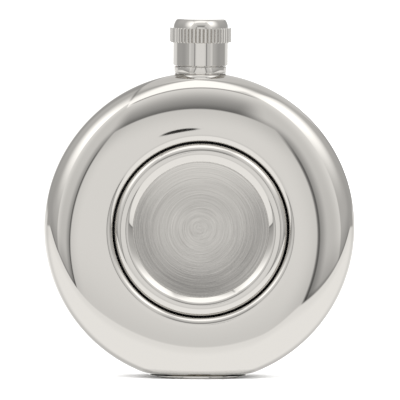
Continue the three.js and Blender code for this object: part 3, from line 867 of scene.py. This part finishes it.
grip_bottom = cap_bottom + SKIRT_HEIGHT
grip_top = grip_bottom + GRIP_HEIGHT
ceiling = cap_high.z - CAP_CROWN_THICKNESS
shoulder_top = cap_high.z - DOME_RISE
lean_start, lean_end = (math.radians(lean) for lean in DOME_WALL_LEAN)
wall_middle = (
    skirt_radius - DOME_WALL_ROUND * math.cos(lean_start),
    grip_top - DOME_WALL_ROUND * math.sin(lean_start),
)
dome_wall = arc(*wall_middle, DOME_WALL_ROUND, *DOME_WALL_LEAN, SHOULDER_STEPS)
wall_radius, wall_top = dome_wall[-1]
dome_corner = (shoulder_top - wall_top) / (1 - math.sin(lean_end))
shoulder_radius = wall_radius - dome_corner * math.cos(lean_end)
shoulder_middle = (shoulder_radius, shoulder_top - dome_corner)
shoulder = arc(*shoulder_middle, dome_corner, DOME_WALL_LEAN[1], 90, SHOULDER_STEPS)
dome = [
    (shoulder_radius * (1 - i / DOME_STEPS), shoulder_top + DOME_RISE * (1 - (1 - i / DOME_STEPS) ** 2))
    for i in range(1, DOME_STEPS)
]
cap_rings = [
    (cap_bore, ceiling),
    (cap_bore, cap_bottom + SKIRT_EDGE),
    (cap_bore + SKIRT_EDGE, cap_bottom),
    (skirt_radius - SKIRT_EDGE, cap_bottom),
    (skirt_radius, cap_bottom + SKIRT_EDGE),
    (skirt_radius, grip_bottom),
    (grip_radius - FLUTE_DEPTH - GRIP_EDGE, grip_bottom),
    (grip_radius - GRIP_EDGE, grip_bottom),
    (grip_radius, grip_bottom + GRIP_EDGE),
    (grip_radius, grip_top - GRIP_EDGE),
    (grip_radius - GRIP_EDGE, grip_top),
    (grip_radius - FLUTE_DEPTH - GRIP_EDGE, grip_top),
    *dome_wall,
    *shoulder[1:],
    *dome,
]
bpy.ops.object.select_all(action="DESELECT")
bpy.ops.mesh.primitive_circle_add(
    vertices=FLUTE_COUNT * FLUTE_POINTS,
    radius=cap_rings[0][0],
    fill_type="NGON",
    location=(0, 0, ceiling),
)
cap = bpy.context.object
cap.name = "cap_shell_turned"
bpy.ops.object.transform_apply(location=True)
bpy.ops.object.mode_set(mode="EDIT")
bpy.ops.mesh.select_all(action="SELECT")
bpy.ops.mesh.region_to_loop()
for (radius, z), (next_radius, next_z) in zip(cap_rings, cap_rings[1:]):
    bpy.ops.mesh.extrude_edges_move(TRANSFORM_OT_translate={"value": (0, 0, next_z - z)})
    growth = next_radius / radius
    bpy.ops.transform.resize(value=(growth, growth, 1))
bpy.ops.mesh.edge_face_add()
bpy.ops.mesh.poke()
bpy.ops.object.mode_set(mode="OBJECT")

grip_middle = (grip_bottom + grip_top) / 2
flute_phase = FULL_TURN / (FLUTE_COUNT * FLUTE_POINTS)
for phase, share in enumerate(FLUTE_SHAPE, 1):
    sunk = (grip_radius - FLUTE_DEPTH * share) / grip_radius
    for vertex in cap.data.vertices:
        in_band = abs(vertex.co.z - grip_middle) < GRIP_HEIGHT / 2 + MERGE_DISTANCE
        proud = math.hypot(vertex.co.x, vertex.co.y) > grip_radius - GRIP_EDGE - MERGE_DISTANCE
        step = round(math.atan2(vertex.co.y, vertex.co.x) / flute_phase) % FLUTE_POINTS
        vertex.select = in_band and proud and step == phase
    bpy.ops.object.mode_set(mode="EDIT")
    bpy.ops.mesh.select_mode(type="VERT")
    bpy.ops.transform.resize(value=(sunk, sunk, 1), center_override=(0, 0, grip_middle))
    bpy.ops.object.mode_set(mode="OBJECT")
    for polygon in cap.data.polygons:
        polygon.select = False
    for edge in cap.data.edges:
        edge.select = False
bpy.ops.object.mode_set(mode="EDIT")
close_up(cap)
dress(cap, polish)
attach(cap, "cap")
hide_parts("cap_shell")


# Table
# A matt white sheet that the flask stands on, with a faint painted glow of its own that lifts its shade.
# The steel sees it only close by, in the shade under the flask, as a darker copy painted with shade, and
# further off it sees the tent's floor in its place.
TABLE_SIZE = 6
TABLE_WHITE = (0.9, 0.9, 0.9, 1)
TABLE_ROUGHNESS = 0.9
# painted shade: the steel sees the sheet as this darker copy of its white
TABLE_SHADED_IN_STEEL = (0.42, 0.42, 0.42, 1)
# painted glow: the sheet gives off a little light of its own, which lifts its shade
TABLE_PAINTED_GLOW = 0.06
TABLE_SEEN = (1 * MM, 4 * MM)
bpy.ops.mesh.primitive_plane_add(size=TABLE_SIZE)
table = bpy.context.object
table.name = "table"
paper, paper_tree, paper_shader = new_material("white_paper")
paper_shader.inputs["Roughness"].default_value = TABLE_ROUGHNESS
paper_shader.inputs["Specular IOR Level"].default_value = 0
paper_shader.inputs["Emission Color"].default_value = (1, 1, 1, 1)
# a faint painted glow of the sheet's own, so its shade near the flask never goes fully dark
paper_shader.inputs["Emission Strength"].default_value = TABLE_PAINTED_GLOW
ray = paper_tree.nodes.new("ShaderNodeLightPath").outputs
# painted shade: glossy rays see a darker copy of the white sheet
tone = paper_tree.nodes.new("ShaderNodeMix")
tone.data_type = "RGBA"
tone.inputs["A"].default_value = TABLE_WHITE
tone.inputs["B"].default_value = TABLE_SHADED_IN_STEEL
paper_tree.links.new(ray["Is Glossy Ray"], tone.inputs["Factor"])
paper_tree.links.new(tone.outputs["Result"], paper_shader.inputs["Base Color"])
far_off = paper_tree.nodes.new("ShaderNodeMapRange")
far_off.inputs["From Min"].default_value, far_off.inputs["From Max"].default_value = TABLE_SEEN
paper_tree.links.new(ray["Ray Length"], far_off.inputs["Value"])
unseen = number_step(paper_tree, "MULTIPLY", ray["Is Glossy Ray"], far_off.outputs["Result"])
clear = paper_tree.nodes.new("ShaderNodeBsdfTransparent")
sheet = paper_tree.nodes.new("ShaderNodeMixShader")
paper_tree.links.new(unseen, sheet.inputs["Fac"])
paper_tree.links.new(paper_shader.outputs["BSDF"], sheet.inputs[1])
paper_tree.links.new(clear.outputs["BSDF"], sheet.inputs[2])
paper_tree.links.new(sheet.outputs["Shader"], paper_tree.nodes["Material Output"].inputs["Surface"])
dress(table, paper)


# Studio light
# A white tent round the flask: a card in front with a slot for the lens, two front panels, two side
# panels with a lamp behind each, a roof, and a dark gap between the card and the roof.
world = bpy.context.scene.world or bpy.data.worlds.new("tent")
bpy.context.scene.world = world
world.use_nodes = True
tent = world.node_tree
tent.nodes.clear()


def calc(operation, *values):
    """One step of arithmetic on the light of the tent."""
    return number_step(tent, operation, *values)


def fade(value, start, end, low=0, high=1):
    """Goes softly from low to high as value goes from start to end."""
    node = tent.nodes.new("ShaderNodeMapRange")
    node.interpolation_type = "SMOOTHSTEP"
    for name, number in (("From Min", start), ("From Max", end), ("To Min", low), ("To Max", high)):
        feed(tent, node.inputs[name], number)
    feed(tent, node.inputs["Value"], value)
    return node.outputs["Result"]


def blend(share, below, above):
    """Mixes two brightnesses, below at share 0 and above at share 1."""
    node = tent.nodes.new("ShaderNodeMix")
    for socket, value in zip((node.inputs[0], node.inputs[2], node.inputs[3]), (share, below, above)):
        feed(tent, socket, value)
    return node.outputs[0]


def past(value, edge, along):
    """How far value lies past a straight edge, given by its place and by how it leans with along."""
    place, lean = edge
    return calc("SUBTRACT", value, calc("MULTIPLY_ADD", along, lean, place))


def short_of(value, edge, along):
    """How far value still is from a straight edge."""
    return calc("MULTIPLY", past(value, edge, along), -1)


def toward(azimuth, elevation):
    """Direction from the flask, in degrees. Azimuth 0 is the front, and positive is to the right."""
    a, e = math.radians(azimuth), math.radians(elevation)
    return Vector((math.sin(a) * math.cos(e), -math.cos(a) * math.cos(e), math.sin(e)))


TENT_TURN = math.radians(1.5)
square_up = tent.nodes.new("ShaderNodeVectorRotate")
square_up.rotation_type = "Z_AXIS"
square_up.inputs["Angle"].default_value = -TENT_TURN
tent.links.new(tent.nodes.new("ShaderNodeTexCoord").outputs["Generated"], square_up.inputs["Vector"])
direction = square_up.outputs["Vector"]
split = tent.nodes.new("ShaderNodeSeparateXYZ")
tent.links.new(direction, split.inputs[0])
side, back, up = split.outputs
DEGREES = 180 / math.pi
LEAST = 0.02
FRONT_START = (0.05, 0.12)
forward = calc("MULTIPLY", back, -1)
front = calc("MAXIMUM", forward, LEAST)
across = calc("DIVIDE", side, front)
above = calc("DIVIDE", up, front)
elevation = calc("MULTIPLY", calc("ARCSINE", up), DEGREES)
azimuth = calc("MULTIPLY", calc("ARCTAN2", side, forward), DEGREES)
turn = calc("ABSOLUTE", azimuth)
in_front = fade(front, *FRONT_START)

# Side panels, dim low down and at the far side, each with the glow of the lamp behind it.
PANEL_NEAR = 0.68
PANEL_FAR = 0.6
PANEL_TURN = (55, 95)
PANEL_RISE = 0.2
PANEL_ELEVATION = (0, 45)
LAMP_LIGHT = 1.15
LAMP_SPREAD = 36
LEFT_LAMP = toward(-45, 32)
RIGHT_LAMP = toward(46, 37.5)


def glow(lamp):
    """The light of a lamp through the panel, from 1 at its middle to 0 at its spread."""
    nearness = vector_step(tent, "DOT_PRODUCT", direction, lamp)["Value"]
    away = calc("MULTIPLY", calc("ARCCOSINE", nearness), DEGREES)
    return fade(away, LAMP_SPREAD, 0)


panel_rise = fade(elevation, *PANEL_ELEVATION, 0, PANEL_RISE)
panel = calc("ADD", fade(turn, *PANEL_TURN, PANEL_NEAR, PANEL_FAR), panel_rise)
lamps = calc("MAXIMUM", glow(LEFT_LAMP), glow(RIGHT_LAMP))
light = calc("MULTIPLY_ADD", lamps, LAMP_LIGHT, panel)

# The back of the tent, brighter near the floor, and white straight behind the flask.
BACK_LIGHT = 0.55
BACK_TURN = (115, 155)
BACK_LOW_LIGHT = 0.6
BACK_LOW_TURN = (114, 126)
BACK_LOW_ELEVATION = (3, -1)
BACK_WHITE = 1.6
BACK_WHITE_TURN = (150, 168)
BACK_WHITE_ELEVATION = (22, 10)
light = blend(fade(turn, *BACK_TURN), light, BACK_LIGHT)
low_down = fade(elevation, *BACK_LOW_ELEVATION, 0, BACK_LOW_LIGHT)
light = calc("MULTIPLY_ADD", fade(turn, *BACK_LOW_TURN), low_down, light)
straight_back = calc("MULTIPLY", fade(turn, *BACK_WHITE_TURN), fade(elevation, *BACK_WHITE_ELEVATION))
light = blend(straight_back, light, BACK_WHITE)

# Front panels, between the card and a fold on either side, lighter towards the fold.
FOLD_LEFT = (-1.24, 0.39)
FOLD_RIGHT = (1.03, -0.42)
FOLD_BLUR = 0.04
FRONT_FOLD_LIGHT = 1.14
FRONT_CARD_LIGHT = 0.91
FRONT_REACH = 0.45
FRONT_LOW = 0.9
FRONT_LOW_ELEVATION = (-10, 20)
from_fold = calc("MINIMUM", past(across, FOLD_LEFT, above), short_of(across, FOLD_RIGHT, above))
front_panel = fade(from_fold, 0, FRONT_REACH, FRONT_FOLD_LIGHT, FRONT_CARD_LIGHT)
front_panel = calc("MULTIPLY", front_panel, fade(elevation, *FRONT_LOW_ELEVATION, FRONT_LOW, 1))
light = blend(calc("MULTIPLY", fade(from_fold, -FOLD_BLUR, FOLD_BLUR), in_front), light, front_panel)

# Roof, brightest in front. A thin dark seam runs along its left edge, and its right edge is soft.
ROOF_LEFT = (-0.46, 0.16)
ROOF_RIGHT = (0.77, 0.5)
ROOF_LEFT_BLUR = 0.01
ROOF_RIGHT_BLUR = 0.06
ROOF_START = (-1.18, -1.06)
ROOF_LEAST_HEIGHT = (0.3, 0.4)
ROOF_LIGHT = 1.7
ROOF_SIDE_LIGHT = 0.64
ROOF_SIDE_TURN = (40, 86)
ROOF_BACK_RISE = 0.32
ROOF_BACK_TURN = (95, 140)
ROOF_LEAN = 0.25
ROOF_SEAM = 0.6
ROOF_SEAM_WIDTH = 0.035
ROOF_SEAM_END_TURN = (115, 145)
ROOF_SEAM_HEIGHT = (0.74, 0.8)
overhead = calc("MAXIMUM", up, LEAST)
roof_along = calc("DIVIDE", back, overhead)
roof_across = calc("DIVIDE", side, overhead)
from_left = past(roof_across, ROOF_LEFT, roof_along)
from_right = short_of(roof_across, ROOF_RIGHT, roof_along)
roof_start = calc("MULTIPLY", fade(roof_along, *ROOF_START), fade(up, *ROOF_LEAST_HEIGHT))
roof_forward = calc("MULTIPLY_ADD", up, -ROOF_LEAN, forward)
roof_turn = calc("MULTIPLY", calc("ARCTAN2", calc("ABSOLUTE", side), roof_forward), DEGREES)
roof = fade(roof_turn, *ROOF_SIDE_TURN, ROOF_LIGHT, ROOF_SIDE_LIGHT)
roof = calc("ADD", roof, fade(roof_turn, *ROOF_BACK_TURN, 0, ROOF_BACK_RISE))
in_left = fade(from_left, -ROOF_LEFT_BLUR, ROOF_LEFT_BLUR)
in_right = fade(from_right, -ROOF_RIGHT_BLUR, ROOF_RIGHT_BLUR)
roof_mask = calc("MULTIPLY", in_left, in_right)
light = blend(calc("MULTIPLY", roof_mask, roof_start), light, roof)
roof_seam = fade(calc("ABSOLUTE", from_left), 0, ROOF_SEAM_WIDTH, ROOF_SEAM, 1)
roof_seam = blend(fade(turn, *ROOF_SEAM_END_TURN), roof_seam, 1)
roof_seam = blend(fade(up, *ROOF_SEAM_HEIGHT), 1, roof_seam)
light = calc("MULTIPLY", light, blend(roof_start, 1, roof_seam))

# The gap between the card and the roof, dark over the card and lighter upwards to a thin dark seam.
GAP_LEFT = (-0.19, -0.376)
GAP_RIGHT = (0.062, 0.427)
GAP_BLUR = (-0.08, 0.06)
GAP_LOW = 0.2
GAP_HIGH = 1.1
GAP_RISE = (0.12, 0.93)
GAP_SEAM = 0.62
GAP_SEAM_START = (0.925, 0.945)
GAP_TOP = (1.07, 1.02)
gap_inside = calc("MINIMUM", past(across, GAP_LEFT, above), short_of(across, GAP_RIGHT, above))
under_roof = calc("MULTIPLY", in_front, fade(above, *GAP_TOP))
gap_mask = calc("MULTIPLY", fade(gap_inside, *GAP_BLUR), under_roof)
gap = fade(above, *GAP_RISE, GAP_LOW, GAP_HIGH)
gap = blend(fade(above, *GAP_SEAM_START), gap, GAP_SEAM)
light = blend(gap_mask, light, gap)

# Card, with a slot for the lens, a thin dark line down both sides and its shade on the front panels.
CARD_LEFT = (-0.485, 0.471)
CARD_RIGHT = (0.335, -0.23)
CARD_TOP = (0.284, -0.115)
CARD_BLUR = 0.012
CARD_LIGHT = 1.09
CARD_TOP_LIGHT = 0.93
CARD_TOP_REACH = 0.2
CARD_SHADE = 0.52
CARD_SHADE_REACH = 0.16
CARD_SHADE_TOP = (-0.1, 0.05)
CARD_EDGE = 0.88
CARD_EDGE_REACH = 0.2
CARD_LINE = 0.3
CARD_LINE_WIDTH = (0.005, 0.03)
CARD_LINE_TOP = (0, 0.15)
LENS_PLACE = (-0.01, 0.077)
LENS_SIZE = (0.03, 0.012)
LENS_BLUR = (1.25, 0.75)
LENS_LIGHT = 0.04
card_side = calc("MINIMUM", past(across, CARD_LEFT, above), short_of(across, CARD_RIGHT, above))
card_top = short_of(above, CARD_TOP, across)
beside_card = calc("MULTIPLY", fade(card_top, *CARD_SHADE_TOP), in_front)
card_shade = fade(card_side, -CARD_SHADE_REACH, 0, 1, CARD_SHADE)
light = calc("MULTIPLY", light, blend(beside_card, 1, card_shade))
lens_across = calc("DIVIDE", calc("SUBTRACT", across, LENS_PLACE[0]), LENS_SIZE[0])
lens_above = calc("DIVIDE", calc("SUBTRACT", above, LENS_PLACE[1]), LENS_SIZE[1])
lens_above_squared = calc("MULTIPLY", lens_above, lens_above)
from_lens = calc("SQRT", calc("MULTIPLY_ADD", lens_across, lens_across, lens_above_squared))
card = fade(card_top, 0, CARD_TOP_REACH, CARD_TOP_LIGHT, CARD_LIGHT)
card = calc("MULTIPLY", card, fade(card_side, 0, CARD_EDGE_REACH, CARD_EDGE, 1))
card = blend(fade(from_lens, *LENS_BLUR), card, LENS_LIGHT)
card_mask = fade(calc("MINIMUM", card_side, card_top), -CARD_BLUR, CARD_BLUR)
card_mask = calc("MULTIPLY", card_mask, in_front)
light = blend(card_mask, light, card)
card_line = fade(calc("ABSOLUTE", card_side), *CARD_LINE_WIDTH, CARD_LINE, 1)
line_mask = calc("MULTIPLY", fade(card_top, *CARD_LINE_TOP), in_front)
light = calc("MULTIPLY", light, blend(line_mask, 1, card_line))

# Floor, with a crease where the panels meet it and a softer shade at the foot of the card.
FLOOR_LIGHT = 1.28
FLOOR_EDGE = 0.92
FLOOR_EDGE_REACH = (-1, -8)
FLOOR_EDGE_BLUR = (0.6, -0.6)
FLOOR_BACK_LIGHT = 0.62 * FLOOR_LIGHT
FLOOR_BACK_TURN = (85, 150)
FLOOR_BACK_RISE = 0.5
FLOOR_BACK_RISE_TURN = (115, 150)
FLOOR_BACK_RISE_ELEVATION = (-35, -12)
HORIZON = (-18.5, -3.5)
HORIZON_TURN = (25, 96)
HORIZON_DIP = 4
HORIZON_DIP_ACROSS = (0.22, 0.38)
HORIZON_DIP_TURN = (20, 55)
CREASE_SHADE = 0.74
CREASE_SHADE_REACH = (12, 1)
CREASE_LINE = 0.6
CREASE_LINE_REACH = (2.5, 0.3)
CREASE_END = 0.9
CREASE_END_TURN = (70, 92)
CARD_FOOT = 0.88
CARD_FOOT_REACH = (17, 1)
horizon_dip = fade(across, *HORIZON_DIP_ACROSS, HORIZON_DIP, 0)
horizon_dip = calc("MULTIPLY", horizon_dip, fade(turn, *HORIZON_DIP_TURN, 1, 0))
horizon = calc("SUBTRACT", fade(turn, *HORIZON_TURN, *HORIZON), horizon_dip)
over_floor = calc("SUBTRACT", elevation, horizon)
crease = fade(over_floor, *CREASE_SHADE_REACH, 1, CREASE_SHADE)
crease = calc("MULTIPLY", crease, fade(over_floor, *CREASE_LINE_REACH, 1, CREASE_LINE))
crease = blend(fade(turn, *CREASE_END_TURN), crease, CREASE_END)
card_foot = fade(over_floor, *CARD_FOOT_REACH, 1, CARD_FOOT)
light = calc("MULTIPLY", light, blend(card_mask, crease, card_foot))
floor = fade(turn, *FLOOR_BACK_TURN, FLOOR_LIGHT, FLOOR_BACK_LIGHT)
floor = calc("MULTIPLY", floor, fade(over_floor, *FLOOR_EDGE_REACH, FLOOR_EDGE, 1))
floor_rise = fade(elevation, *FLOOR_BACK_RISE_ELEVATION, 0, FLOOR_BACK_RISE)
floor = calc("MULTIPLY_ADD", fade(turn, *FLOOR_BACK_RISE_TURN), floor_rise, floor)
light = blend(fade(over_floor, *FLOOR_EDGE_BLUR), light, floor)

# Matt surfaces are lit harder than the steel, and the camera sees plain white.
MATT_LIGHT = 3
BACKDROP_LIGHT = 1.3
paths = tent.nodes.new("ShaderNodeLightPath")
light = calc("MULTIPLY", light, blend(paths.outputs["Is Diffuse Ray"], 1, MATT_LIGHT))
background = tent.nodes.new("ShaderNodeBackground")
background.inputs["Color"].default_value = (1, 1, 1, 1)
tent.links.new(blend(paths.outputs["Is Camera Ray"], light, BACKDROP_LIGHT), background.inputs["Strength"])
output = tent.nodes.new("ShaderNodeOutputWorld")
tent.links.new(background.outputs[0], output.inputs["Surface"])
bpy.context.scene.view_settings.view_transform = "Standard"


# Camera
# A long lens in front of the flask, a little above it and to its left.
CAMERA_AZIMUTH = -3
CAMERA_ELEVATION = 4.2
CAMERA_DISTANCE = 1.8
CAMERA_ROLL = math.radians(0.47)
PIXELS = 400
PIXEL_SIZE = 0.3474 * MM
BODY_CENTRE_PIXEL = Vector((199.06, 226.92))
SENSOR = 36
view_from = toward(CAMERA_AZIMUTH, CAMERA_ELEVATION)
camera_data = bpy.data.cameras.new("camera")
camera_data.sensor_width = SENSOR
camera_data.lens = SENSOR * CAMERA_DISTANCE / (PIXELS * PIXEL_SIZE)
camera = bpy.data.objects.new("camera", camera_data)
bpy.context.scene.collection.objects.link(camera)
level = (-view_from).to_track_quat("-Z", "Y")
facing = level @ Quaternion((0, 0, 1), CAMERA_ROLL)
off_centre = (Vector((PIXELS / 2, PIXELS / 2)) - BODY_CENTRE_PIXEL) * PIXEL_SIZE
aim = Vector((0, 0, AXIS_HEIGHT)) + facing @ Vector((off_centre.x, -off_centre.y, 0))
camera.location = aim + view_from * CAMERA_DISTANCE
camera.rotation_mode = "QUATERNION"
camera.rotation_quaternion = facing
bpy.context.scene.camera = camera
